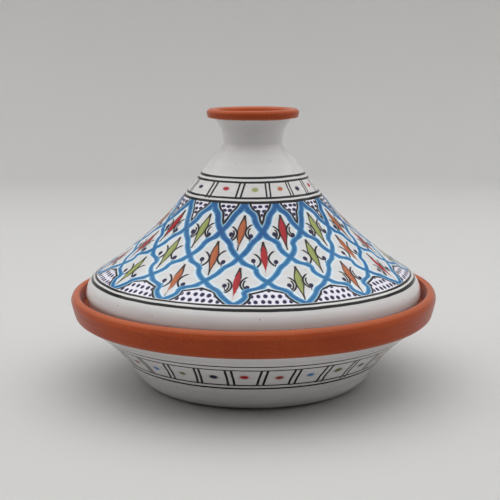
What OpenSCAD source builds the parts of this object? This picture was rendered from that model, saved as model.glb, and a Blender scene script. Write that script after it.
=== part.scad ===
// Table tagine, thrown and hand painted: a footed dish whose bare terracotta collar carries a
// gallery for the lid, and a tall flared lid with a cup-shaped knob. Millimetres, Z up, the
// foot on Z = 0 and the wheel's axis on X = Y = 0. Every profile is [radius, height].

/* [Dish] */
// Widest diameter of the terracotta collar
collar_d = 310; // [290:1:330]
// Height of the collar's top above the table
collar_h = 81.5; // [79:0.5:85]
// Thickness of the collar's wall above the gallery
collar_w = 7.5; // [6:0.5:9]
// Diameter of the edge that the foot stands on
foot_d = 177; // [166:1:180]
// How far the side curves in from a straight cone
side_sag = 3.6; // [2:0.2:4.4]
// Height of the clay floor at the middle of the dish
floor_h = 10; // [9:0.5:11]

/* [Lid] */
// Gap between the lid's skirt and the collar, all round
lid_gap = 5; // [3:0.5:6]
// Thickness of the lid's clay
lid_wall = 6.4; // [5.6:0.2:7.4]
// Radius of the shoulder that turns the skirt into the cone
shoulder_r = 23.2; // [21:0.2:26]
// Radius of the cone's hollow sweep
sweep_r = 300; // [280:5:330]
// Slope of the cone where it leaves the shoulder, in degrees
sweep_low = 32; // [30:0.5:33]
// Slope of the straight throat of the cone, in degrees
sweep_top = 52; // [51:0.5:53]

/* [Knob] */
// Radius of the waist between cone and knob
waist_r = 24.8; // [22:0.2:28]
// Radius of the knob's hollow waist curve
waist_curve = 30.3; // [28:0.5:34]
// Radius of the knob's rim
rim_r = 38.4; // [36:0.2:42]
// Thickness of the knob's rolled rim
rim_t = 7.3; // [7:0.1:9]
// Depth of the cup in the knob
cup_deep = 18; // [14:0.5:19]

/* [Glaze] */
// Thickness of the tin glaze outside
coat = 0.6; // [0.4:0.1:0.8]
// Thickness of the glaze inside the dish, the lid and the cup
coat_in = 0.5; // [0.4:0.1:0.7]
// Thickness of the luting slip in the two joints
slip_t = 0.8; // [0.4:0.1:1]

/* [Hidden] */
$fn = 96;

clay = "#b5633f";
clay_dark = "#96502f";
slip = "#d9b48f";
white = "#e9e6df";
white_in = "#d8d3c6";

// ---- curves ------------------------------------------------------------------------------

// Points of an arc about c, from angle a to angle b in n steps
function arc(c, r, a, b, n) =
    [for (i = [0 : n]) let (t = a + (b - a) * i / n) c + r * [cos(t), sin(t)]];

// Points from p to q on a bow whose middle stands s to the left of the chord, ends included
function bow(p, q, s, n) =
    let (w = norm(q - p), r = (w * w / 4 + s * s) / (2 * s), u = (q - p) / w, v = [-u[1], u[0]],
         h = asin(w / 2 / r))
    [for (i = [0 : n]) let (t = -h + 2 * h * i / n)
        (p + q) / 2 + r * sin(t) * u + (r * cos(t) - r + s) * v];

function back(p) = [for (i = [len(p) - 1 : -1 : 0]) p[i]];
function from(p, i) = [for (k = [i : len(p) - 1]) p[k]];
function upto(p, i) = [for (k = [0 : i]) p[k]];

// The right-hand normal of a path at each point, and the path moved along it. The first
// point moves by start only, so that a coat thins out to its edge.
function unit(v) = v / norm(v);
function side(a, b) = let (d = unit(b - a)) [d[1], -d[0]];
function normal(p, i) =
    i == 0 ? side(p[0], p[1]) :
    i == len(p) - 1 ? side(p[i - 1], p[i]) :
    unit(side(p[i - 1], p[i]) + side(p[i], p[i + 1]));
function moved(p, d, start) =
    [for (i = [0 : len(p) - 1]) p[i] + (i == 0 ? start : d) * normal(p, i)];

module turned(p) rotate_extrude() polygon(p);

// ---- dish --------------------------------------------------------------------------------

collar_r = collar_d / 2;
gallery_r = collar_r - collar_w;       // inside of the collar
gallery_h = collar_h - 16.5;           // the ledge that the lid stands on
lip_h = collar_h - 24.6;               // where the collar is luted on to the bowl
foot_r = foot_d / 2;
recess_h = 2.2;                        // hollow under the floor, inside the foot

// Clay surface of the side, from just above the foot to the joint under the collar
knee = [foot_r + 12.4, 10];
side_out = concat(
    from(bow([foot_r - 1, 0], knee, -1.7, 6), 3),
    from(bow(knee, [collar_r - 9.4, lip_h], side_sag, 16), 1));
// Clay surface inside, from the middle of the floor up to the joint under the collar
heel = [foot_r - 9, floor_h + 0.8];
turn = [foot_r + 8, 17.6];
side_in = concat(
    [[0, floor_h], [foot_r - 30, floor_h + 0.2]],
    bow(heel, turn, -1.9, 5),
    from(bow(turn, [collar_r - 17.8, lip_h], side_sag * 0.85, 14), 1));

module bowl_body() color(clay) turned(concat(
    [[0, recess_h], [foot_r - 15, recess_h], [foot_r - 12, 0], [foot_r - 1, 0]],
    [for (i = [1, 2]) bow([foot_r - 1, 0], knee, -1.7, 6)[i]],
    side_out, back(side_in)));

module collar_slip_joint() color(slip) turned([
    [collar_r - 17.8, lip_h], [collar_r - 9.4, lip_h],
    [collar_r - 9.4, lip_h + slip_t], [collar_r - 17.8, lip_h + slip_t]]);

// The collar: a thick coil luted round the lip, thrown up into a wall with a ledge inside
module rim_collar() color(clay) turned(concat(
    [[collar_r - 17.8, lip_h + slip_t], [collar_r - 5.2, lip_h + slip_t]],
    bow([collar_r - 3.2, lip_h + slip_t + 1.7], [collar_r, collar_h - 5.6], -0.35, 4),
    bow([collar_r - 0.6, collar_h - 2.9], [collar_r - 5, collar_h], -1.0, 4),
    bow([gallery_r + 0.5, collar_h - 1.2], [gallery_r + 0.1, collar_h - 5], 0.25, 2),
    [[gallery_r - 0.4, gallery_h + 2.2], [gallery_r - 1.2, gallery_h + 0.7],
     [gallery_r - 3, gallery_h]],
    bow([collar_r - 20.6, gallery_h], [collar_r - 20.2, gallery_h - 3.8], -1.5, 4)));

// Tin glaze on the side: it stops just above the table and under the collar
module bowl_outer_glaze() color(white) turned(concat(
    upto(moved(side_out, coat, 0.25), len(side_out) - 2),
    [[collar_r - 9.4 + 2 * coat, lip_h + slip_t], [collar_r - 9.4, lip_h + slip_t]],
    back(side_out)));

// Glaze inside, up to the joint under the ledge
module bowl_inner_glaze() color(white_in) turned(concat(
    side_in,
    [[collar_r - 17.8, lip_h + slip_t], [collar_r - 17.8 - coat_in, lip_h + slip_t]],
    back([for (i = [0 : len(side_in) - 2])
        i == 0 ? side_in[0] + [0, coat_in] : side_in[i] - coat_in * normal(side_in, i)])));

// ---- lid ---------------------------------------------------------------------------------

lid_r = gallery_r - lid_gap;           // glazed skirt
seat = gallery_h + 0.3;                // underside of the skirt, just clear of the ledge
shoulder = [lid_r - shoulder_r, gallery_h + 10.9];
sweep_c = shoulder + (shoulder_r + sweep_r) * [sin(sweep_low), cos(sweep_low)];
throat = sweep_c - sweep_r * [sin(sweep_top), cos(sweep_top)];
waist_h = throat[1] + (throat[0] - waist_r) * tan(sweep_top);

// Surface of skirt, shoulder and cone at depth d under the glaze, up to the throat
function cone_skin(d) = concat(
    arc(shoulder, shoulder_r - d, 0, 90 - sweep_low, 9),
    from(arc(sweep_c, sweep_r + d, 270 - sweep_low, 270 - sweep_top, 16), 1));

skirt_foot = [lid_r - coat - 1.7, seat + 4.5];
lid_out = concat([skirt_foot], cone_skin(coat), [[waist_r - coat, waist_h]]);

// The hollow: one wall deeper than the outside, closed by a low dome under the knob
dome_r = 26;
deep = coat + lid_wall;
skin_in = cone_skin(deep);
top_in = skin_in[len(skin_in) - 1];
dome_foot = [dome_r, top_in[1] + (top_in[0] - dome_r) * tan(sweep_top)];
dome_top = waist_h - 6.4;
lid_in = concat([[lid_r - deep - 1.2, seat + 3.4]], skin_in,
    bow(dome_foot, [0, dome_top], -(dome_top - dome_foot[1]) * 0.42, 6));

module lid_cone() color(clay) turned(concat(
    [[lid_r - deep + 0.4, seat], [lid_r - coat - 3.2, seat], [lid_r - coat - 2.1, seat + 1.2]],
    lid_out, [[0, waist_h]], back(lid_in)));

module knob_slip_joint() color(slip)
    translate([0, 0, waist_h]) cylinder(r = waist_r - coat, h = slip_t);

// ---- knob --------------------------------------------------------------------------------

knob_h = waist_h + slip_t;             // underside of the knob's clay
flare = 38;                            // sweep of the waist curve, in degrees
waist_c = [waist_r + waist_curve, knob_h];
waist_out = arc(waist_c, waist_curve + coat, 180, 180 - flare, 7);
brow = waist_out[len(waist_out) - 1];  // end of the waist, where the bare rim begins
rim_low = brow[1] + 1.6;
rim_top = rim_low + rim_t;

// Clay surface of the cup, from its middle out to the bare lip
cup_in = concat(
    [[0, rim_top - cup_deep]],
    bow([9, rim_top - cup_deep + 0.5], [rim_r - 10.4, rim_top - 8], -3, 7),
    [[rim_r - 8.6, rim_top - 4.6]]);

module knob_cup() color(clay) turned(concat(
    [[0, knob_h]], waist_out,
    [[rim_r - 2.4, rim_low]],
    bow([rim_r - 0.7, rim_low + 0.5], [rim_r, rim_low + 2], -0.2, 2),
    bow([rim_r, rim_top - 3.6], [rim_r - 3.3, rim_top], -0.8, 4),
    bow([rim_r - 5.2, rim_top - 0.1], [rim_r - 7.6, rim_top - 2.2], -0.4, 3),
    back(cup_in)));

// One coat over skirt, cone, waist and knob, up to the bare rim
module lid_outer_glaze() color(white) turned(concat(
    back(concat(lid_out, waist_out)),
    [lid_out[0] + [0.25, 0]], cone_skin(0),
    [[waist_r, waist_h]], upto(arc(waist_c, waist_curve, 180, 180 - flare, 7), 6),
    [brow + [0.3, -0.5]]));

module lid_inner_glaze() color(white_in) turned(concat(
    from(lid_in, 1),
    back([for (i = [1 : len(lid_in) - 1])
        i == len(lid_in) - 1 ? lid_in[i] - [0, coat_in] :
        lid_in[i] - (i == 1 ? 0.2 : coat_in) * normal(lid_in, i)])));

module knob_cup_glaze() color(white_in) turned(concat(
    cup_in,
    back([for (i = [0 : len(cup_in) - 1])
        i == 0 ? cup_in[0] + [0, coat_in] :
        cup_in[i] - (i == len(cup_in) - 1 ? 0.2 : coat_in) * normal(cup_in, i)])));

bowl_body();
rim_collar();
collar_slip_joint();
bowl_outer_glaze();
bowl_inner_glaze();
lid_cone();
knob_cup();
knob_slip_joint();
lid_outer_glaze();
lid_inner_glaze();
knob_cup_glaze();
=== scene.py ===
# Table tagine: a footed dish with a bare clay collar, and a painted lid with a cup-shaped knob.
# Every clay part and every coat of glaze is thrown on one wheel, a Geometry Nodes tree that
# turns a profile round the axis X = Y = 0. Profiles are in millimetres, as radius + height * 1j.
import cmath
import math
import bpy
from mathutils import Euler, Matrix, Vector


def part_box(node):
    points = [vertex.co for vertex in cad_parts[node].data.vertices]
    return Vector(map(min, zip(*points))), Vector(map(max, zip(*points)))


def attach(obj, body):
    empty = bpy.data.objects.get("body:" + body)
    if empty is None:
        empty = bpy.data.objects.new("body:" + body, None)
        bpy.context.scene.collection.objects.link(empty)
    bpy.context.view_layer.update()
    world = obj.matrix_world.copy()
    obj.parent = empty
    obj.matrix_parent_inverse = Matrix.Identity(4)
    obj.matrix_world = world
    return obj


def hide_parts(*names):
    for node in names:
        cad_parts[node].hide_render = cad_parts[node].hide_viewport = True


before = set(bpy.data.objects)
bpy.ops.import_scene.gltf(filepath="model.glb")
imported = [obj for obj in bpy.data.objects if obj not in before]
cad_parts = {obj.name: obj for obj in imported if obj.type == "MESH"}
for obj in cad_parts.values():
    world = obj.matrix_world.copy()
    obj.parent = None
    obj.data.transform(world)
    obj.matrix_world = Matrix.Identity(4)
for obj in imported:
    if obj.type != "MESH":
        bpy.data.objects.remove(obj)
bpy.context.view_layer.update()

MM = 0.001
SOFT_EDGE = 0.22    # how far a brush line fades at its edge, in millimetres
CRISP_EDGE = 0.2


def radius_of(node):
    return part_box(node)[1].x / MM


def foot_of(node):
    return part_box(node)[0].z / MM


def top_of(node):
    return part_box(node)[1].z / MM


# ---- sums inside a node tree ----------------------------------------------------------------

class Sum:
    """A socket to reckon with: sums on it become Math nodes. & is both, | is either, ~ is not."""

    def __init__(self, sheet, socket):
        self.sheet, self.socket = sheet, socket

    def __add__(self, other):
        return self.sheet.math("ADD", self, other)

    def __sub__(self, other):
        return self.sheet.math("SUBTRACT", self, other)

    def __rsub__(self, other):
        return self.sheet.math("SUBTRACT", other, self)

    def __mul__(self, other):
        return self.sheet.math("MULTIPLY", self, other)

    def __truediv__(self, other):
        return self.sheet.math("DIVIDE", self, other)

    def __rtruediv__(self, other):
        return self.sheet.math("DIVIDE", other, self)

    def __mod__(self, other):
        return self.sheet.math("FLOORED_MODULO", self, other)

    def __lt__(self, other):
        return self.sheet.math("LESS_THAN", self, other)

    def __gt__(self, other):
        return self.sheet.math("GREATER_THAN", self, other)

    def __or__(self, other):
        return self.sheet.math("MAXIMUM", self, other)

    def __abs__(self):
        return self.sheet.math("ABSOLUTE", self)

    def __invert__(self):
        return 1 - self

    __radd__ = __add__
    __rmul__ = __mul__
    __and__ = __mul__


class Sheet:
    """A node tree that is being written: each call adds one node and gives back its output."""

    def __init__(self, tree):
        self.tree = tree

    def feed(self, socket, value):
        if isinstance(value, Sum):
            self.tree.links.new(value.socket, socket)
        elif value is not None:
            socket.default_value = value

    def node(self, kind, inputs=(), **settings):
        made = self.tree.nodes.new(kind)
        for name, value in settings.items():
            setattr(made, name, value)
        for name, value in dict(inputs).items():
            self.feed(made.inputs[name], value)
        return made

    def out(self, made, name=0):
        return Sum(self, made.outputs[name])

    def math(self, operation, *terms):
        return self.out(self.node("ShaderNodeMath", enumerate(terms), operation=operation))

    def sin(self, degrees):
        return self.math("SINE", degrees * (math.pi / 180))

    def cos(self, degrees):
        return self.math("COSINE", degrees * (math.pi / 180))

    def floor(self, value):
        return self.math("FLOOR", value)

    def round(self, value):
        return self.math("ROUND", value)

    def root(self, value):
        return self.math("SQRT", value)

    def fade(self, value, start, end):
        """0 before start, 1 after end, and smooth between them."""
        ends = {"Value": value, "From Min": start, "From Max": end}
        return self.out(self.node("ShaderNodeMapRange", ends, interpolation_type="SMOOTHSTEP"))

    def under(self, value, limit, soft=CRISP_EDGE):
        """1 where value is under limit."""
        return self.fade(value - limit, soft, -soft)

    def vector(self, x=0.0, y=0.0, z=0.0):
        return self.out(self.node("ShaderNodeCombineXYZ", {"X": x, "Y": y, "Z": z}))

    def parts(self, vector):
        made = self.node("ShaderNodeSeparateXYZ", {"Vector": vector})
        return [self.out(made, name) for name in "XYZ"]

    def noise(self, place, scale, detail=2.0, rough=0.5):
        """Three smooth random values, each about 0 in the middle and within 1 of it."""
        made = self.node("ShaderNodeTexNoise", {
            "Vector": place, "Scale": scale, "Detail": detail, "Roughness": rough})
        spread = 2.6
        return [(part - 0.5) * spread for part in self.parts(self.out(made, "Color"))]

    def grit(self, place, scale):
        """Distance to the nearest grain, and that grain's own random value."""
        made = self.node("ShaderNodeTexVoronoi", {"Vector": place, "Scale": scale})
        return self.out(made, "Distance"), self.parts(self.out(made, "Color"))[0]

    def chance(self, x, y, z=0.0):
        """Three random values from 0 to 1 that stay the same for the same x, y and z."""
        made = self.node("ShaderNodeTexWhiteNoise", {"Vector": self.vector(x, y, z)})
        return self.parts(self.out(made, "Color"))

    def curve(self, value, points):
        """A drawn curve through points, each (0 to 1, 0 to 1)."""
        made = self.node("ShaderNodeFloatCurve", {"Value": value})
        line = made.mapping.curves[0]
        line.points[0].location, line.points[1].location = points[0], points[-1]
        for point in points[1:-1]:
            line.points.new(*point)
        made.mapping.update()
        return self.out(made)

    def blend(self, amount, below, above):
        """The colour above over the colour below."""
        made = self.node("ShaderNodeMix", {0: amount, 6: below, 7: above}, data_type="RGBA")
        return self.out(made, 2)

    def pick(self, number, colours):
        """The colour of that number, counting round the list of colours."""
        made = self.node("ShaderNodeValToRGB", {0: (number % len(colours) + 0.5) / len(colours)})
        ramp = made.color_ramp
        ramp.interpolation = "CONSTANT"
        for k, colour in enumerate(colours):
            stop = ramp.elements[k] if k < 2 else ramp.elements.new(k / len(colours))
            stop.position, stop.color = k / len(colours), colour
        return self.out(made)

    def group(self, tree, inputs):
        """A node group placed with its own values; gives its outputs by name."""
        made = self.node("ShaderNodeGroup", node_tree=tree)
        for name, value in inputs.items():
            self.feed(made.inputs[name], value)
        return {o.name: Sum(self, o) for o in made.outputs}


def effect(name, inputs, outputs):
    """A new shader node group, the sheet to write it on, its inputs, and a way to finish it."""
    tree = bpy.data.node_groups.new(name, "ShaderNodeTree")
    for word, value in inputs.items():
        socket = tree.interface.new_socket(word, in_out="INPUT", socket_type="NodeSocketFloat")
        socket.default_value = value
    for word, kind in outputs.items():
        tree.interface.new_socket(word, in_out="OUTPUT", socket_type="NodeSocket" + kind)
    sheet = Sheet(tree)
    given = sheet.node("NodeGroupInput")
    values = {word: sheet.out(given, word) for word in inputs}

    def finish(**results):
        end = sheet.node("NodeGroupOutput")
        for word, value in results.items():
            sheet.feed(end.inputs[word], value)
        return tree

    return sheet, values, finish


def linear(level):
    """The light behind one screen value, both from 0 to 1."""
    if level < 0.04045:
        return level / 12.92
    return ((level + 0.055) / 1.055) ** 2.4


def fired(red, green, blue):
    """A fired colour, given as it is seen on a screen, each part from 0 to 255."""
    return linear(red / 255), linear(green / 255), linear(blue / 255), 1.0


# ---- the wheel ------------------------------------------------------------------------------

def wheel_tree():
    tree = bpy.data.node_groups.new("Wheel", "GeometryNodeTree")
    for word, kind, value in (
            ("Profile", "Geometry", None), ("Stops", "Int", 240), ("Closed", "Bool", True),
            ("Ring Depth", "Float", 0.0002), ("Ring Pitch", "Float", 0.006),
            ("Out of Round", "Float", 0.0015), ("Dip", "Float", 0.0), ("Dip At", "Float", -60.0),
            ("Dip From", "Float", 0.0), ("Seed", "Float", 0.0), ("Finish", "Material", None)):
        socket = tree.interface.new_socket(word, in_out="INPUT", socket_type="NodeSocket" + kind)
        if value is not None:
            socket.default_value = value
    tree.interface.new_socket("Ware", in_out="OUTPUT", socket_type="NodeSocketGeometry")
    s = Sheet(tree)
    given = s.node("NodeGroupInput")
    profile, stops, closed, depth, pitch, oval, dip, dip_at, dip_from, seed, finish = (
        s.out(given, word) for word in (
            "Profile", "Stops", "Closed", "Ring Depth", "Ring Pitch", "Out of Round",
            "Dip", "Dip At", "Dip From", "Seed", "Finish"))
    count = s.out(s.node("GeometryNodeAttributeDomainSize", {"Geometry": profile}), "Point Count")
    grid = s.out(s.node("GeometryNodeMeshGrid", {
        "Vertices X": count + closed, "Vertices Y": stops + 1}), "Mesh")
    index = s.out(s.node("GeometryNodeInputIndex"))
    row = s.floor((index + 0.5) / (stops + 1))
    turn = (index - row * (stops + 1)) / stops

    def of_profile(value, kind):
        return s.out(s.node("GeometryNodeSampleIndex", {
            "Geometry": profile, "Value": value, "Index": row % count}, data_type=kind), "Value")

    def named(word):
        return s.out(s.node("GeometryNodeInputNamedAttribute", {"Name": word}, data_type="FLOAT"))

    def stored(ware, word, value, domain="POINT", kind="FLOAT"):
        return s.out(s.node("GeometryNodeStoreNamedAttribute", {
            "Geometry": ware, "Name": word, "Value": value}, domain=domain, data_type=kind))

    ware = stored(grid, "turn", turn)
    for word in ("run", "throw", "rub"):
        ware = stored(ware, word, of_profile(named(word), "FLOAT"))
    ware = stored(ware, "wheel", s.vector(named("turn"), named("run")), "CORNER", "FLOAT2")

    # Round the axis, a little out of true, by the same rule for clay and for its glaze
    radius, _, height = s.parts(of_profile(s.out(s.node("GeometryNodeInputPosition")), "FLOAT_VECTOR"))
    angle = (turn - 0.5) * 360
    right, front = s.sin(angle), s.cos(angle) * -1
    sway, lift, _ = s.noise(s.vector(right, front, height * 5), 0.7, 1.0)
    radius = radius * (1 + oval * sway)
    off_the_pole = s.fade(radius, 0.0, 0.012)
    height = height * (1 + oval * 0.5 * lift * off_the_pole)

    # One side of the rim sinks by the dip, easing in over its last 10 mm
    slumped = s.fade(height, dip_from, dip_from + 0.01) * (1 + s.cos(angle - dip_at)) / 2
    height = height - dip * slumped
    ware = s.out(s.node("GeometryNodeSetPosition", {
        "Geometry": ware, "Position": s.vector(radius * right, radius * front, height)}))
    ware = s.out(s.node("GeometryNodeMergeByDistance", {"Geometry": ware, "Distance": 2e-6}))
    ware = s.out(s.node("GeometryNodeFlipFaces", {0: ware}))

    # The spiral that fingers leave in wet clay
    rings = named("run") / pitch
    slow = s.noise(s.vector(rings * 0.37, seed), 1.0, 1.0)[0]
    quick = s.noise(s.vector(rings, named("turn") * 0.8, seed + 9), 1.0, 2.0)[0]
    ring = s.sin((rings + named("turn") + slow * 0.8) * 360) * 0.6 + quick * 0.6
    out = s.node("GeometryNodeInputNormal")
    push = s.node("ShaderNodeVectorMath", {
        "Vector": s.out(out), "Scale": ring * depth * named("throw")}, operation="SCALE")
    ware = s.out(s.node("GeometryNodeSetPosition", {
        "Geometry": ware, "Offset": s.out(push, "Vector")}))
    ware = s.out(s.node("GeometryNodeSetShadeSmooth", {0: ware}))
    ware = s.out(s.node("GeometryNodeRealizeInstances", {0: ware}))
    ware = s.out(s.node("GeometryNodeSetMaterial", {"Geometry": ware, "Material": finish}))
    s.feed(s.node("NodeGroupOutput").inputs[0], ware)
    return tree


WHEEL = wheel_tree()


def throw(name, profile, finish, closed=False, start=0, **settings):
    """One turned piece. Each point of the profile is (place, how much the rings show, wear)."""
    places = [p for p, _, _ in profile]
    along = [0.0]
    for a, b in zip(places, places[1:]):
        along.append(along[-1] + abs(b - a))
    mesh = bpy.data.meshes.new(name + "_profile")
    mesh.from_pydata([(p.real * MM, 0, p.imag * MM) for p in places],
                     [(k, k + 1) for k in range(len(places) - 1)], [])
    columns = {
        "run": [abs(a - along[start]) * MM for a in along],
        "throw": [t for _, t, _ in profile],
        "rub": [r for _, _, r in profile],
    }
    for word, values in columns.items():
        mesh.attributes.new(word, "FLOAT", "POINT").data.foreach_set("value", values)
    blank = bpy.data.objects.new(name + "_blank", mesh)
    bpy.context.scene.collection.objects.link(blank)
    turning = blank.modifiers.new("Wheel", "NODES")
    turning.node_group = WHEEL
    settings.update({"Closed": closed, "Finish": finish})
    for socket in WHEEL.interface.items_tree:
        if socket.in_out == "INPUT" and socket.name in settings:
            turning[socket.identifier] = settings[socket.name]
    ready = blank.evaluated_get(bpy.context.evaluated_depsgraph_get())
    ware = bpy.data.objects.new(name, bpy.data.meshes.new_from_object(ready))
    ware.data.name = name
    bpy.context.scene.collection.objects.link(ware)
    bpy.data.objects.remove(blank)
    return ware


# ---- profiles -------------------------------------------------------------------------------

def arc(centre, radius, start, end, n):
    turns = (start + (end - start) * k / n for k in range(n + 1))
    return [centre + cmath.rect(radius, math.radians(t)) for t in turns]


def bow(start, end, sag, n):
    """A bow from start to end whose middle stands sag to the left of the chord."""
    chord = abs(end - start)
    along = (end - start) / chord
    radius = (chord ** 2 / 4 + sag ** 2) / (2 * sag)
    half = math.asin(chord / 2 / radius)
    middle = (start + end) / 2
    turns = (half * (2 * k / n - 1) for k in range(n + 1))
    return [middle + along * complex(radius * math.sin(t), radius * math.cos(t) - radius + sag)
            for t in turns]


def heading(a, b):
    return (b - a) / abs(b - a)


def outside(path, depth, start=None):
    """The path moved depth to its right; its first point moves only by start, if given."""
    last = len(path) - 1
    moved = []
    for k, place in enumerate(path):
        way = sum(heading(path[m], path[m + 1]) for m in (max(k - 1, 0), min(k, last - 1)))
        moved.append(place - 1j * way / abs(way) * (start if k == 0 and start is not None else depth))
    return moved


CORNER = math.radians(20)    # a bend sharper than this gets rubbed round
WORN_OUT = 1.2               # a bend of this many radians shows full wear


def worked(path, reach=0.8, step=1.3, closed=False):
    """A path with its sharp corners rubbed round and its long legs divided, ready to throw."""
    last = len(path) - 1
    shaped = []
    for k, place in enumerate(path):
        if not closed and k in (0, last):
            shaped.append((place, 0.0))
            continue
        before, after = path[k - 1], path[(k + 1) % len(path)]
        bend = abs(cmath.phase(heading(place, after) / heading(before, place)))
        if bend < CORNER:
            shaped.append((place, 0.0))
            continue
        a = place + (before - place) * min(0.45, reach / abs(before - place))
        b = place + (after - place) * min(0.45, reach / abs(after - place))
        for t in (0, 0.2, 0.4, 0.6, 0.8, 1):
            rubbed = a * (1 - t) ** 2 + place * 2 * t * (1 - t) + b * t * t
            shaped.append((rubbed, min(bend / WORN_OUT, 1.0)))
    ready = []
    for k, (place, rub) in enumerate(shaped):
        ready.append((place, 1.0, rub))
        if k == len(shaped) - 1 and not closed:
            break
        after, rub_after = shaped[(k + 1) % len(shaped)]
        pieces = max(1, math.ceil(abs(after - place) / step))
        for m in range(1, pieces):
            t = m / pieces
            near = max(rub * (1 - t * pieces / 2), rub_after * (1 - (1 - t) * pieces / 2), 0.0)
            ready.append((place + (after - place) * t, 1.0, near))
    return ready


def hidden(path):
    """A path that shows no rings and no wear, for the side of a coat that lies on the clay."""
    return [(place, 0.0, 0.0) for place in path]


# Sizes taken from the frame, and the few that it can't give
collar_r = radius_of("rim_collar")
collar_h = top_of("rim_collar")
lip_h = top_of("bowl_body")
slip_h = foot_of("rim_collar")
lid_r = radius_of("lid_outer_glaze")
seat = foot_of("lid_cone")
waist_h = foot_of("knob_slip_joint")
knob_h = foot_of("knob_cup")
coat = lid_r - radius_of("lid_cone")
waist_r = radius_of("knob_slip_joint") + coat
rim_r = radius_of("knob_cup")
rim_top = top_of("knob_cup")
floor_h = 10.0
foot_r = 88.5
coat_in = 0.5    # thickness of the glaze inside

# The dish: clay surface of its side from just above the foot, and of its inside from the middle
knee = foot_r + 12.4 + 10j
side_lip = collar_r - 9.4 + lip_h * 1j
side_foot = bow(foot_r - 1 + 0j, knee, -1.7, 12)
side_out = side_foot[6:] + bow(knee, side_lip, 3.6, 48)[1:]
heel = foot_r - 9 + (floor_h + 0.8) * 1j
turn_up = foot_r + 8 + 17.6j
inner_lip = collar_r - 17.8 + lip_h * 1j
side_in = ([floor_h * 1j, foot_r - 30 + (floor_h + 0.2) * 1j] + bow(heel, turn_up, -1.9, 10)
           + bow(turn_up, inner_lip, 3.06, 40)[1:])

# The lid: an upright skirt, a round shoulder and a hollow sweep up to the straight throat.
# The sweep is drawn from a wide shoulder, and then the tighter one is set between it and the skirt.
sweep_r = 300.0
slope_top = 52.0
wide_r = 23.2
wide = lid_r - wide_r + (seat + 10.6) * 1j
sweep = wide + (wide_r + sweep_r) * cmath.rect(1, math.radians(58))
shoulder_r = 19.5
apart = shoulder_r + sweep_r
aside = sweep.real - lid_r + shoulder_r
shoulder = lid_r - shoulder_r + (sweep.imag - math.sqrt(apart ** 2 - aside ** 2)) * 1j
slope_low = 90 - math.degrees(cmath.phase(sweep - shoulder))
lid_wall = 6.4
waist_curve = 30.3
flare = 43.0


def cone_skin(depth, fine=1):
    """Shoulder and sweep at a depth under the glaze."""
    return (arc(shoulder, shoulder_r - depth, 0, 90 - slope_low, 9 * fine)
            + arc(sweep, sweep_r + depth, 270 - slope_low, 270 - slope_top, 24 * fine)[1:])


def waist(depth, n=7):
    """The hollow curve below the knob's rim, at a depth under the glaze."""
    return arc(waist_r + waist_curve + knob_h * 1j, waist_curve + depth, 180, 180 - flare, n)


def falling(point, r):
    """Height on the straight throat at radius r, below the throat's lower end at point."""
    return point.imag + (point.real - r) * math.tan(math.radians(slope_top))


brow = waist(coat)[-1]
skirt_foot = lid_r - coat - 1.7 + (seat + 4.5) * 1j
lid_out = [skirt_foot] + cone_skin(coat) + [waist_r - coat + waist_h * 1j]
deep = coat + lid_wall
inner_skin = cone_skin(deep)
dome_r, dome_top = 26.0, waist_h - lid_wall
dome_foot = dome_r + falling(inner_skin[-1], dome_r) * 1j
lid_in = ([lid_r - deep - 1.2 + (seat + 3.4) * 1j] + inner_skin
          + bow(dome_foot, dome_top * 1j, (dome_foot.imag - dome_top) * 0.42, 10))
cup_floor = rim_top - 18.0
cup_in = ([cup_floor * 1j] + bow(9 + (cup_floor + 0.5) * 1j, rim_r - 10.4 + (rim_top - 8) * 1j, -3, 12)
          + [rim_r - 8.6 + (rim_top - 4.6) * 1j])


def bowl_profile():
    foot = [2.2j, foot_r - 15 + 2.2j, foot_r - 12 + 0j, foot_r - 1 + 0j]
    return worked(foot + side_foot[1:6] + side_out + side_in[::-1], 0.9)


def collar_profile():
    gallery_r, gallery_h = collar_r - 7.5, collar_h - 16.5
    ring = [inner_lip.real + slip_h * 1j, collar_r - 6.4 + slip_h * 1j]
    ring += bow(collar_r - 3.2 + (slip_h + 2.4) * 1j, collar_r + 0.4 + (collar_h - 6.4) * 1j, -0.35, 8)
    ring += bow(collar_r - 0.3 + (collar_h - 3.9) * 1j, collar_r - 4.8 + collar_h * 1j, -1.1, 8)
    ring += bow(gallery_r + 0.5 + (collar_h - 1.2) * 1j, gallery_r + 0.1 + (collar_h - 5) * 1j, 0.25, 3)
    ring += [gallery_r - 0.4 + (gallery_h + 2.2) * 1j, gallery_r - 1.2 + (gallery_h + 0.7) * 1j,
             gallery_r - 3 + gallery_h * 1j]
    ring += bow(collar_r - 20.6 + gallery_h * 1j, collar_r - 20.2 + (gallery_h - 3.8) * 1j, -1.5, 6)
    return worked(ring, 1.6, 1.0, closed=True)


def bowl_side_profile():
    side = side_foot[2:6] + side_out
    skin = worked(outside(side, coat, 0.25)[:-1] + [side_lip.real + 2 * coat + slip_h * 1j], step=1.2)
    back = [side_lip.real + slip_h * 1j] + side[::-2]
    return skin + hidden(back)


def bowl_inside_profile():
    skin = outside(side_in, -coat_in)[:-1]
    skin[0] = side_in[0] + coat_in * 1j
    skin += [inner_lip.real - coat_in + slip_h * 1j]
    back = side_in[::3] + [inner_lip, inner_lip.real + slip_h * 1j]
    return hidden(back) + worked(skin[::-1])


def lid_clay_profile():
    foot = [lid_r - deep + 0.4 + seat * 1j, lid_r - coat - 3.2 + seat * 1j,
            lid_r - coat - 2.1 + (seat + 1.2) * 1j]
    return worked(lid_in[::-1] + foot + lid_out + [waist_h * 1j], 0.8)


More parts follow.
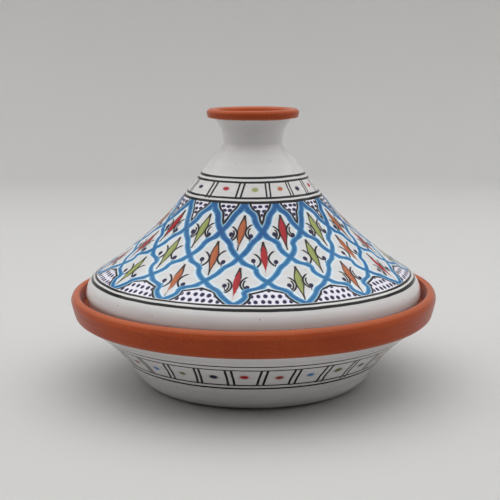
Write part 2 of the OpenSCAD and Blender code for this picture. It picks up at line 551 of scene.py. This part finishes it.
def knob_profile():
    under = brow.imag - 0.3
    rim = [brow.real + 1.2 + under * 1j, rim_r - 0.5 + under * 1j]
    rim += bow(rim_r + 0.4 + (rim_top - 3.0) * 1j, rim_r - 2.4 + rim_top * 1j, -0.7, 8)
    rim += bow(rim_r - 5.4 + (rim_top - 0.2) * 1j, rim_r - 7.8 + (rim_top - 1.8) * 1j, -0.3, 5)
    return worked([knob_h * 1j] + waist(coat) + rim + cup_in[::-1], 0.7, 0.8)


def lid_skin_profile():
    skin = [skirt_foot + 0.25] + cone_skin(0, 3) + [waist_r + waist_h * 1j]
    skin += waist(0, 14)[:-1] + [brow + 0.3 - 0.5j]
    back = waist(coat)[::-1] + lid_out[::-1]
    return worked(skin, 3.0, 1.2) + hidden(back)


def lid_inside_profile():
    skin = outside(lid_in[1:], -coat_in, -0.2)
    skin[-1] = lid_in[-1] - coat_in * 1j
    back = lid_in[1::2] + [lid_in[-1]]
    return worked(skin[::-1]) + hidden(back)


def cup_skin_profile():
    skin = outside(cup_in, -coat_in)[:-1] + [outside(cup_in, -0.2)[-1]]
    skin[0] = cup_in[0] + coat_in * 1j
    return hidden(cup_in) + worked(skin[::-1], step=0.8)


# ---- effects that several finishes share -----------------------------------------------------

def place_on_the_wheel():
    """Where a brush stands: turn in degrees from the front, run along the glaze and radius in mm."""
    s, given, finish = effect(
        "Place on the wheel", {"Unsteady": 0.5},
        {"Turn": "Float", "Run": "Float", "Radius": "Float", "Waver": "Float", "Load": "Float"})
    body = s.out(s.node("ShaderNodeTexCoord"), "Object")
    x, y, _ = s.parts(body)
    radius = s.root(x * x + y * y) * 1000
    turn, run, _ = s.parts(s.out(s.node("ShaderNodeUVMap", uv_map="wheel")))
    slow, quick = s.noise(body, 16, 1.0), s.noise(body, 85, 1.0)
    off = [(a + b * 0.4) * given["Unsteady"] for a, b in zip(slow, quick)]
    load = s.noise(body, 230, 3.0, 0.6)[0]
    per_radian = 57.3
    return finish(
        Turn=(turn - 0.5) * 360 + off[0] * per_radian / radius, Run=run * 1000 + off[1],
        Radius=radius, Waver=slow[2], Load=load)


def ring_line():
    """A line drawn round the turning pot, a little thicker and thinner as it goes."""
    s, given, finish = effect(
        "Ring line", {"Run": 0, "At": 0, "Width": 1.5, "Waver": 0}, {"Mask": "Float"})
    off = abs(given["Run"] - given["At"])
    half = given["Width"] / 2 * (1 + given["Waver"] * 0.25)
    return finish(Mask=s.under(off, half, SOFT_EDGE))


def panel_band():
    """Pairs of slanting strokes round a band, and a dot in the middle of each panel."""
    s, given, finish = effect(
        "Panel band", {
            "Turn": 0, "Run": 0, "Radius": 100, "Count": 16, "First": 0, "Crowding": 0,
            "Crowded At": 0, "Foot": 0, "Head": 20, "Gap": 3.5, "Stroke": 1.1, "Slant": 0.1,
            "Dot": 2, "Seed": 0},
        {"Strokes": "Float", "Dots": "Float", "Bloom": "Float", "Panel": "Float"})
    turn, run, count = given["Turn"], given["Run"], given["Count"]
    spaced = turn + given["Crowding"] * (1 - s.cos(turn - given["Crowded At"]))
    along = (spaced - given["First"]) / 360 * count
    width = given["Radius"] * (2 * math.pi) / count
    middle = (given["Foot"] + given["Head"]) / 2

    # A pair of strokes: now and then one runs on past the band's foot
    edge = s.round(along)
    lean, gap, low = s.chance(edge % count, given["Seed"])
    x = (along - edge) * width - (run - middle) * (given["Slant"] * (lean * 2.4 - 0.5))
    apart = given["Gap"] / 2 * (0.8 + gap * 0.4)
    overrun = low * low * low * 3.2
    inside = s.under(run, given["Head"]) & s.under(given["Foot"] - overrun, run)
    strokes = s.under(abs(abs(x) - apart), given["Stroke"] / 2, SOFT_EDGE) & inside

    # A dot, a little off the panel's middle, with paint that has bled round it
    panel = s.floor(along)
    right, high, size = s.chance(panel % count, given["Seed"], 7)
    x = (along - panel - 0.5) * width + (right - 0.5) * 3
    y = run - middle + (high - 0.5) * 2.4
    off = s.root(x * x * 0.8 + y * y * 1.2) / (given["Dot"] * (0.85 + size * 0.3))
    return finish(Strokes=strokes, Dots=s.under(off, 0.9, 0.16), Bloom=s.under(off, 1.3, 0.45),
                  Panel=panel)


def glaze_skin():
    """Uneven thickness, faint ripples, pinholes and iron specks in a coat of glaze."""
    s, given, finish = effect(
        "Glaze skin", {"Ripple": 1.0, "Specks": 0.5},
        {"Height": "Float", "Thick": "Float", "Speck": "Float", "Pinhole": "Float"})
    body = s.out(s.node("ShaderNodeTexCoord"), "Object")
    thick = s.noise(body, 22, 3.0)[0]
    ripple = s.noise(body, 95, 2.0)[1]
    peel = s.noise(body, 900, 1.0)[0]
    near, which = s.grit(body, 150)
    pinhole = s.under(near, 0.075, 0.03) & (which > 0.9)
    near, which = s.grit(body, 210)
    speck = s.under(near, 0.14, 0.06) & (which > 1 - given["Specks"] * 0.12)
    height = thick * 0.6 + ripple * given["Ripple"] * 0.25 + peel * 0.012 - pinhole * 0.4
    return finish(Height=height, Thick=thick, Speck=speck, Pinhole=pinhole)


def clay_skin():
    """Drag lines from the wheel, sand grains, small tears and kiln clouding in bare clay."""
    s, given, finish = effect(
        "Clay skin", {"Sand": 1.0, "Drag": 1.0},
        {"Height": "Float", "Cloud": "Float", "Grain": "Float", "Pale": "Float", "Drag": "Float"})
    body = s.out(s.node("ShaderNodeTexCoord"), "Object")
    turn, run, _ = s.parts(s.out(s.node("ShaderNodeUVMap", uv_map="wheel")))
    x, y, z = s.parts(body)
    cloud = s.noise(body, 17, 4.0, 0.6)[0]
    drag = s.noise(s.vector(x * 14, y * 14, run * 1400 + cloud), 1.0, 3.0, 0.65)[0]
    grain = s.noise(body, 1100, 2.0, 0.7)[0]
    near, which = s.grit(body, 420)
    pale = s.under(near, 0.22, 0.1) & (which > 0.86)
    near, which = s.grit(body, 260)
    pit = s.under(near, 0.16, 0.08) & (which > 0.9)
    height = drag * given["Drag"] * 0.5 + grain * given["Sand"] * 0.22 + pale * 0.3 - pit * 0.8
    return finish(Height=height, Cloud=cloud, Grain=grain, Pale=pale - pit, Drag=drag)


PLACE = place_on_the_wheel()
RING_LINE = ring_line()
PANEL_BAND = panel_band()
GLAZE_SKIN = glaze_skin()
CLAY_SKIN = clay_skin()

# Colours of the kiln: clay, glaze and the painter's oxides, and the painted highlight on the clay
CLAY = fired(184, 80, 40)
CLAY_DARK = fired(160, 64, 34)
CLAY_PALE = fired(208, 130, 92)
# The pale colour of the painted highlight on the clay's upward faces
CLAY_TOP_HIGHLIGHT = fired(202, 130, 88)
TIN_WHITE = fired(232, 230, 229)
TIN_GREY = fired(221, 219, 218)
TIN_COOL = fired(223, 223, 223)
BLACK = fired(14, 13, 16)
NAVY = fired(26, 22, 66)
COBALT = fired(28, 84, 146)
TURQUOISE = fired(40, 114, 168)
WATER = fired(106, 172, 210)
HALO = fired(226, 238, 246)
LAVENDER = fired(238, 235, 247)
RED = fired(176, 36, 44)
ORANGE = fired(186, 104, 60)
GREEN = fired(158, 168, 96)
OLIVE = fired(104, 114, 60)
SKY = fired(80, 132, 190)
BROWN = fired(156, 66, 48)
CRIMSON = fired(140, 26, 40)
UMBER = fired(44, 30, 28)
PIT_BROWN = fired(110, 48, 28)
IRON = fired(128, 98, 74)
BARE_SPOT = fired(110, 72, 52)
THIN_GLAZE = fired(190, 128, 92)
INSIDE_WHITE = fired(218, 210, 196)
SLIP_PALE = fired(206, 160, 122)
SLIP_DARK = fired(186, 120, 84)


# ---- the trellis on the lid ------------------------------------------------------------------

def trellis():
    """Ogee cells between the lid's ring lines, each with a spindle leaf, sprigs and berries."""
    s, given, finish = effect(
        "Trellis", {"Turn": 0, "Run": 0, "Radius": 100, "Waver": 0, "Load": 0, "Cells": 15,
                    "Head": 127.5, "Row": 24.7},
        {"Colour": "Color", "Paint": "Float"})
    turn, run, radius, waver, load, count, head, row_run = (given[word] for word in (
        "Turn", "Run", "Radius", "Waver", "Load", "Cells", "Head", "Row"))
    first_cell, crowding, crowded_at = 6.4, 4.5, 10
    cell = 360 / count
    width = radius * cell * (math.pi / 180)
    across = (turn + first_cell + crowding * (1 - s.cos(turn - crowded_at))) / cell
    rows = (head - run) / row_run
    down = rows - s.sin(rows * 45) * 0.09
    lower = s.fade(rows, 0.6, 2.6)

    # Two families of strokes, one leaning each way, that swing out below each crossing
    part = down - s.floor(down)
    rest, nudge = 0.2, 0.04
    swing_line = ((0, rest), (0.2, 0.24), (0.42, 1), (0.56, 0.62), (0.72, rest), (0.86, 0.1), (1, rest))
    bend = s.curve(part, swing_line) - rest
    steep = (s.curve(part + nudge, swing_line) - s.curve(part - nudge, swing_line)) / (2 * nudge)
    strokes = []
    for way in (-1, 1):
        line = across + down * (way / 2)
        much = s.chance(s.round(line) % count, s.floor(down), way + 3)[0] * 0.13 + 0.04
        much = much * (0.5 + lower * 0.5)
        line = line + bend * much * way
        rise = (0.5 + steep * much) / row_run
        reach = 1 / s.root(1 / (width * width) + rise * rise)
        strokes.append((line, abs(line - s.round(line)) * reach))
    (left, off_left), (right, off_right) = strokes
    off = s.math("SMOOTH_MIN", off_left, off_right, 1.3)
    half = 2.2 - lower * 0.3 + waver * 0.12 + load * 0.06

    # Which cell this is, and where in it, in millimetres from its middle
    row = s.floor(right) - s.floor(left)
    column = s.floor(right)
    middle = (s.floor(left) + s.floor(right) + 1) / 2
    x = (across - middle) * width
    y = run - (head - 2.2) + row * 25.2
    first, second, third = s.chance(column % count, row, 11)
    in_cell = (row > 0.5) & (3.5 > row)
    half_cell = ~in_cell
    top_cell = 0.5 > row
    foot_cell = ~top_cell

    # Glaze inside the cells, bluer beside a stroke, and lavender in the half cells. The lower
    # half cells end in a low arch, so their depth is also measured down from that.
    ground = s.blend(s.fade(off, half + 0.6, half + 3), HALO, TIN_COOL)
    anywhere = 99
    arch = (46.2 - abs(x) * 0.32 - run) * 0.9
    depth = s.math("MINIMUM", off - half, top_cell * anywhere + arch)
    canvas = s.blend(half_cell & s.fade(depth, 1.1, 1.7), ground, LAVENDER)

    # Dots in the half cells: small rows hung from the top, larger ones standing at the foot
    pitch = 4.7 + foot_cell * 0.6
    level = 4.1 + foot_cell * 1.9
    from_line = (run - head + 2.6) * top_cell + (run - 31.6) * foot_cell
    lane = s.round(from_line / level)
    hop = lane % 2 * 0.5
    slot_x = x / pitch + hop
    a = (slot_x - s.round(slot_x)) * pitch
    b = from_line - lane * level
    jig, jog, grow = s.chance(s.round(slot_x) + column * 9, lane, 5)
    a, b = a + (jig - 0.5) * 0.9, b + (jog - 0.5) * 0.8
    wide = 1.75 - foot_cell * 0.2 + grow * 0.25
    tall = 1.35 + foot_cell * 0.55 + grow * 0.3
    dots = s.under(s.root(a * a / (wide * wide) + b * b / (tall * tall)), 1.0)
    paint = dots & half_cell & s.fade(depth, 2.2, 2.8)
    canvas = s.blend(paint, canvas, NAVY)

    def brushed(colour, mask):
        """The canvas and the paint on it, with one more stroke."""
        return s.blend(mask, canvas, colour), paint | mask

    # The fine outline just inside a half cell, filled in at its tip
    outline = s.under(abs(depth - 1.6 - load * 0.2), 0.84 + waver * 0.12)
    foot_tip = s.under(43.2, run) & foot_cell
    top_tip = s.under(run, head - 17.6) & top_cell
    tip = s.fade(depth, 1.2, 1.8) & (foot_tip | top_tip)
    canvas, paint = brushed(BLACK, (outline | tip) & half_cell)

    # The spindle leaf: a pointed head and a long thin tail
    leaf_x = x - y * (first * 0.12 - 0.02) - (second - 0.5) * 1.2
    tail_end, leaf_run = 18.5, 35.5
    spindle = ((0, 0), (0.12, 0.05), (0.3, 0.42), (0.5, 0.92), (0.62, 1), (0.76, 0.74), (0.9, 0.24), (1, 0))
    wide = s.curve((y + tail_end) / leaf_run, spindle) * (2.75 + third * 0.5)
    inside = wide - abs(leaf_x)
    leaf = in_cell & (wide > 0.02)
    hue = s.pick(column, (ORANGE, RED, GREEN))
    deep_hue = s.pick(column, (BROWN, CRIMSON, OLIVE))
    streak = s.fade(leaf_x * 0.5 + load * 0.5, 0.1, 1.2)
    hue = s.blend(streak * 0.6, hue, deep_hue)
    canvas, paint = brushed(hue, leaf & s.fade(inside, -0.1, 0.35))
    line = s.under(abs(inside + 0.05), 0.52 + s.fade(y, 8, 15) * 0.25, SOFT_EDGE)
    full_brush = s.fade(load + third * 2 + s.fade(y, 4, 12), 0.0, 0.9)
    canvas, paint = brushed(UMBER, leaf & line & full_brush)

    # Sprigs that curl beside the leaf, one or two on each side
    side_x = abs(x - y * 0.03 - (second - 0.5))
    side = (x > 0) - 0.5
    v = y - side * 2.2 - (third - 0.5) * 2
    hug = 3.1 + v * v * 0.085
    lean = s.root(1 + v * v * 0.029)
    sprig = s.under(abs(side_x - hug) / lean, 0.8, SOFT_EDGE) & s.under(abs(v), 7.2, 0.5)
    twice = (first > 0.45) | (1.5 > row)
    outer = s.under(abs(side_x - hug - 2.2) / lean, 0.68, SOFT_EDGE) & s.under(abs(v + 1), 4.6, 0.5)
    canvas, paint = brushed(BLACK, (sprig | outer & twice) & in_cell)

    # A berry beyond the sprigs, with the short tail that the brush leaves
    berry_x = side_x - 8.6 + (1.5 > row)
    berry_y = y + 2.4 + side * 1.6
    berry = s.under(s.root(berry_x * berry_x + berry_y * berry_y * 0.7), 1.85, 0.25)
    tail_x = berry_x - berry_y * 0.28 - 0.5
    tail = s.under(abs(tail_x), 0.42) & s.under(abs(berry_y + 2.4), 2.4, 0.4)
    canvas, paint = brushed(NAVY, (berry | tail) & in_cell)

    # The blue strokes last, paler at their edges and deeper where the brush was full
    water = s.under(off, half + 0.45 + load * 0.1, 0.35)
    body = s.under(off, half - 0.35 + load * 0.35, 0.75)
    fullness = load * 0.9 + waver * 0.8 - lower * 0.8
    blue = s.blend(s.fade(fullness, -1.2, 1.1), TURQUOISE, COBALT)
    canvas, paint = brushed(WATER, water)
    canvas, paint = brushed(blue, body)
    return finish(Colour=canvas, Paint=paint)


TRELLIS = trellis()


# ---- finishes --------------------------------------------------------------------------------

class Finish(Sheet):
    """A material that is being written, with its Principled shader."""

    def __init__(self, name, **constants):
        self.material = bpy.data.materials.new(name)
        self.material.use_nodes = True
        super().__init__(self.material.node_tree)
        self.shader = next(n for n in self.tree.nodes if n.type == "BSDF_PRINCIPLED")
        for word, value in constants.items():
            self.shader.inputs[word.replace("_", " ")].default_value = value

    def fired_with(self, colour, rough, height, depth):
        """Colour, roughness and a height in units of depth, in millimetres."""
        self.feed(self.shader.inputs["Base Color"], colour)
        self.feed(self.shader.inputs["Roughness"], rough)
        bump = self.node("ShaderNodeBump", {"Height": height, "Distance": depth * MM, "Strength": 1.0})
        self.feed(self.shader.inputs["Normal"], self.out(bump))
        return self.material


def worn(finish):
    """How much an edge is rubbed, from the turned piece itself."""
    return finish.out(finish.node("ShaderNodeAttribute", attribute_name="rub"), "Fac")


def bare_clay(name, sand, drag):
    """Fired clay, paler on its grains and on rubbed edges, with a painted highlight where it faces up."""
    f = Finish(name, IOR=1.5, Specular_IOR_Level=0.1, Sheen_Weight=0.3, Sheen_Roughness=0.3)
    skin = f.group(CLAY_SKIN, {"Sand": sand, "Drag": drag})
    colour = f.blend(f.fade(skin["Cloud"] + skin["Drag"] * 0.35, -0.9, 1.1), CLAY_DARK, CLAY)
    colour = f.blend(f.fade(skin["Grain"], -0.2, 1.2) * 0.25, colour, CLAY_PALE)
    colour = f.blend(f.fade(skin["Pale"], 0, 1) * 0.35, colour, CLAY_PALE)
    colour = f.blend(f.fade(skin["Pale"], 0, -1) * 0.6, colour, PIT_BROWN)
    colour = f.blend(worn(f) * f.fade(skin["Grain"] + skin["Drag"], -0.8, 1.0) * 0.35, colour, CLAY_PALE)
    # Painted highlight: the clay is blended paler where its surface faces up, standing in for the overhead
    # light on its top
    up = f.parts(f.out(f.node("ShaderNodeNewGeometry"), "Normal"))[2]
    colour = f.blend(f.fade(up + skin["Grain"] * 0.1, 0.1, 0.95) * 0.25, colour, CLAY_TOP_HIGHLIGHT)
    rough = 0.42 + skin["Grain"] * 0.06 + skin["Cloud"] * 0.04 - worn(f) * 0.05
    return f.fired_with(colour, rough, skin["Height"], 0.12)


def glaze_base(f, ripple, specks, ground):
    """White glaze, greyer where the coat is thin."""
    skin = f.group(GLAZE_SKIN, {"Ripple": ripple, "Specks": specks})
    colour = f.blend(f.fade(skin["Thick"], -1, 1) * 0.5, ground, TIN_WHITE)
    return skin, colour


def finish_glaze(f, skin, colour, paint, thin):
    """Specks, pinholes and the thin edge over the colour, and the gloss and height of it all."""
    colour = f.blend(skin["Speck"] * 0.55, colour, IRON)
    colour = f.blend(skin["Pinhole"] * 0.7, colour, BARE_SPOT)
    colour = f.blend(thin, colour, THIN_GLAZE)
    rough = 0.11 + f.fade(skin["Thick"], -1, 1) * 0.05 + paint * 0.1 + skin["Pinhole"] * 0.3
    return f.fired_with(colour, rough, skin["Height"] + paint * 0.5, 0.05)


def lined(f, place, colour, lines):
    """Black ring lines, each (its run, its width) in millimetres."""
    for at, width in lines:
        mask = f.group(RING_LINE, {
            "Run": place["Run"], "At": at, "Width": width, "Waver": place["Waver"]})["Mask"]
        colour = f.blend(mask, colour, BLACK)
    return colour


def panelled(f, place, colour, hues, first_hue, band):
    """The strokes and dots of a panel band; gives the colour and where it is painted."""
    spots = {word: place[word] for word in ("Turn", "Run", "Radius")}
    band = f.group(PANEL_BAND, {**spots, **band})
    dots = f.pick(band["Panel"] + first_hue, hues)
    colour = f.blend(band["Bloom"] * 0.25, colour, dots)
    colour = f.blend(band["Dots"], colour, dots)
    colour = f.blend(band["Strokes"], colour, BLACK)
    return colour, band["Strokes"] | band["Dots"]


def painted_lid_glaze():
    f = Finish("painted_lid_glaze", IOR=1.52, Specular_IOR_Level=0.2)
    place = f.group(PLACE, {"Unsteady": 0.45})
    skin, colour = glaze_base(f, 1.0, 0.5, TIN_GREY)
    net = f.group(TRELLIS, {word: place[word] for word in ("Turn", "Run", "Radius", "Waver", "Load")})
    in_net = f.under(29.0, place["Run"]) & f.under(place["Run"], 128.2)
    colour = f.blend(in_net, colour, net["Colour"])
    colour, panels = panelled(f, place, colour, (NAVY, RED, GREEN, ORANGE), 3, {
        "Count": 16, "First": 13.5, "Crowding": 17.2, "Crowded At": 20.3, "Foot": 133, "Head": 147,
        "Gap": 3.4, "Stroke": 1.4, "Slant": 0.14, "Dot": 2.2, "Seed": 2})
    colour = lined(f, place, colour, (
        (23.5, 2.5), (27.6, 1.9), (128.7, 2.4), (132.8, 2.0), (147.4, 2.0), (151.6, 2.2)))
    paint = (net["Paint"] & in_net) | panels
    skirt_edge, rim_edge = 0.9, 205.0
    thin = f.under(place["Run"] + place["Load"] * 0.4, skirt_edge, 0.5) * 0.8
    thin = thin | f.under(rim_edge, place["Run"] + place["Load"] * 0.5 + place["Waver"] * 0.4, 0.4)
    return finish_glaze(f, skin, colour, paint, thin)


def painted_dish_glaze():
    f = Finish("painted_dish_glaze", IOR=1.52, Specular_IOR_Level=0.2)
    place = f.group(PLACE, {"Unsteady": 0.4})
    skin, colour = glaze_base(f, 1.0, 0.6, TIN_GREY)
    colour, panels = panelled(f, place, colour, (SKY, OLIVE, NAVY, RED, BROWN), 4, {
        "Count": 30, "First": 3.3, "Foot": 35.7, "Head": 57.7,
        "Gap": 4.2, "Stroke": 1.95, "Slant": 0.1, "Dot": 2.9, "Seed": 5})
    colour = lined(f, place, colour, ((30.9, 2.0), (35.4, 1.8), (57.9, 1.9), (64.2, 2.0)))
    foot_edge = 0.5
    thin = f.under(place["Run"] + place["Load"] * 0.3 + place["Waver"] * 0.3, foot_edge, 0.3) * 0.6
    return finish_glaze(f, skin, colour, panels, thin)


def inside_glaze():
    f = Finish("inside_glaze", IOR=1.52)
    skin, colour = glaze_base(f, 1.3, 0.9, INSIDE_WHITE)
    thin = worn(f) * f.fade(skin["Thick"], -0.6, 0.8) * 0.5
    return finish_glaze(f, skin, colour, 0.0, thin)


def luting_slip():
    f = Finish("luting_slip", IOR=1.45)
    body = f.out(f.node("ShaderNodeTexCoord"), "Object")
    smear = f.noise(body, 60, 4.0, 0.7)[0]
    grain = f.noise(body, 1200, 2.0)[0]
    colour = f.blend(f.fade(smear, -1, 1), SLIP_PALE, SLIP_DARK)
    return f.fired_with(colour, 0.82 + grain * 0.08, smear * 0.6 + grain * 0.3, 0.15)


SOFT_CLAY = bare_clay("bare_clay_burnished", 0.7, 1.0)
SANDY_CLAY = bare_clay("bare_clay_sandy", 1.5, 1.4)
LID_GLAZE = painted_lid_glaze()
DISH_GLAZE = painted_dish_glaze()
INSIDE_GLAZE = inside_glaze()
SLIP = luting_slip()

# ---- the ware --------------------------------------------------------------------------------

COARSE, FINE = {"Stops": 224}, {"Stops": 300}
WARE = (
    # piece, CAD node, body, slot, profile, finish, other settings
    ("dish_clay", "bowl_body", "dish", "terracotta", bowl_profile(), SANDY_CLAY,
     {**COARSE, "Ring Depth": 0.00012, "Ring Pitch": 0.0031, "Seed": 1.0}),
    ("dish_collar", "rim_collar", "dish", "terracotta", collar_profile(), SOFT_CLAY,
     {**FINE, "closed": True, "Ring Depth": 0.00012, "Ring Pitch": 0.0052, "Seed": 2.0,
      "Dip": 0.0026, "Dip From": (collar_h - 11) * MM}),
    ("dish_painted_coat", "bowl_outer_glaze", "dish", "tin_glaze", bowl_side_profile(), DISH_GLAZE,
     {**FINE, "closed": True, "Ring Depth": 0.00012, "Ring Pitch": 0.0085, "Seed": 3.0}),
    ("dish_inside_coat", "bowl_inner_glaze", "dish", "inside_glaze", bowl_inside_profile(), INSIDE_GLAZE,
     {**FINE, "start": -1, "Ring Depth": 0.0003, "Ring Pitch": 0.0092, "Seed": 4.0}),
    ("lid_clay", "lid_cone", "lid", "terracotta", lid_clay_profile(), SANDY_CLAY,
     {**COARSE, "Ring Depth": 0.0001, "Seed": 5.0}),
    ("lid_knob", "knob_cup", "lid", "terracotta", knob_profile(), SOFT_CLAY,
     {**COARSE, "Ring Depth": 0.00008, "Ring Pitch": 0.0041, "Seed": 6.0}),
    ("lid_painted_coat", "lid_outer_glaze", "lid", "tin_glaze", lid_skin_profile(), LID_GLAZE,
     {**FINE, "closed": True, "Ring Depth": 0.00012, "Ring Pitch": 0.0095, "Seed": 7.0}),
    ("lid_inside_coat", "lid_inner_glaze", "lid", "inside_glaze", lid_inside_profile(), INSIDE_GLAZE,
     {**COARSE, "Ring Depth": 0.0004, "Ring Pitch": 0.0105, "Seed": 8.0}),
    ("knob_cup_coat", "knob_cup_glaze", "lid", "inside_glaze", cup_skin_profile(), INSIDE_GLAZE,
     {"Stops": 160, "start": -1, "Ring Depth": 0.00015, "Ring Pitch": 0.0048, "Seed": 9.0}),
)
for name, node, body, slot, profile, finish, settings in WARE:
    piece = throw(name, profile, finish, **settings)
    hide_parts(node)
    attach(piece, body)

for node in ("collar_slip_joint", "knob_slip_joint"):
    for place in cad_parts[node].material_slots:
        place.material = SLIP

# ---- studio ----------------------------------------------------------------------------------

PAPER = fired(202, 201, 199)
PAPER_PALE = fired(204, 203, 202)
# The dark paper of the painted shade on the front side
PAPER_PAINTED_SHADE = fired(110, 110, 110)


def paper_sweep():
    """A pale floor that turns up into a wall all round, with painted shade darkening its front side, seen
    through from below.
    """
    wall, wall_top, bend = 2000.0, 2600j, 500.0
    profile = [wall + wall_top] + arc(wall - bend + bend * 1j, bend, 0, -90, 24) + [0j]
    f = Finish("backdrop_paper", Roughness=0.9, Specular_IOR_Level=0.1)
    body = f.out(f.node("ShaderNodeTexCoord"), "Object")
    tone = f.noise(body, 3, 3.0)[0] * 0.5 + 0.5
    paper = f.blend(tone, PAPER, PAPER_PALE)
    # Painted shade: the paper toward the front is blended dark, standing in for an unlit room on that side,
    # so less light comes back onto the front of the pot
    front_shade = f.fade(f.parts(body)[1], -0.7, -1.3)
    f.feed(f.shader.inputs["Base Color"], f.blend(front_shade, paper, PAPER_PAINTED_SHADE))
    below = f.out(f.node("ShaderNodeNewGeometry"), "Backfacing")
    through = f.node("ShaderNodeBsdfTransparent")
    mixed = f.node("ShaderNodeMixShader", {0: below, 1: Sum(f, f.shader.outputs[0]), 2: f.out(through)})
    end = next(n for n in f.tree.nodes if n.type == "OUTPUT_MATERIAL")
    f.feed(end.inputs["Surface"], f.out(mixed))
    throw("paper_sweep", hidden(profile), f.material, **{"Stops": 96, "Out of Round": 0.0})


def overhead_lamp():
    """One wide oval lamp, level and a little behind the pot."""
    light = bpy.data.lights.new("overhead_lamp", "AREA")
    light.shape = "ELLIPSE"
    light.size, light.size_y = 4.2, 2.8
    light.energy = 36
    light.color = (1.0, 1.0, 0.995)
    hung = bpy.data.objects.new("overhead_lamp", light)
    bpy.context.scene.collection.objects.link(hung)
    hung.visible_camera = False
    hung.location = (0.0, 0.12, 1.3)


def studio():
    overhead_lamp()
    world = bpy.data.worlds.new("Studio")
    world.use_nodes = True
    sky = world.node_tree.nodes["Background"]
    sky.inputs["Color"].default_value = (0.94, 0.96, 1.0, 1.0)
    sky.inputs["Strength"].default_value = 0.5
    bpy.context.scene.world = world
    seen = bpy.context.scene.view_settings
    seen.view_transform = "Standard"
    seen.gamma = 1.0
    seen.exposure = 0.0


def camera():
    eye = bpy.data.cameras.new("Camera")
    eye.lens = 76.97
    seen = bpy.data.objects.new("Camera", eye)
    bpy.context.scene.collection.objects.link(seen)
    nod, aside_by, roll = math.radians(79.41), math.radians(0.174), math.radians(-0.17)
    turn = Euler((nod, 0, aside_by)).to_matrix() @ Matrix.Rotation(roll, 3, "Z")
    seen.matrix_world = Matrix.Translation((0, -0.9, 0.2796)) @ turn.to_4x4()
    bpy.context.scene.camera = seen


paper_sweep()
studio()
camera()
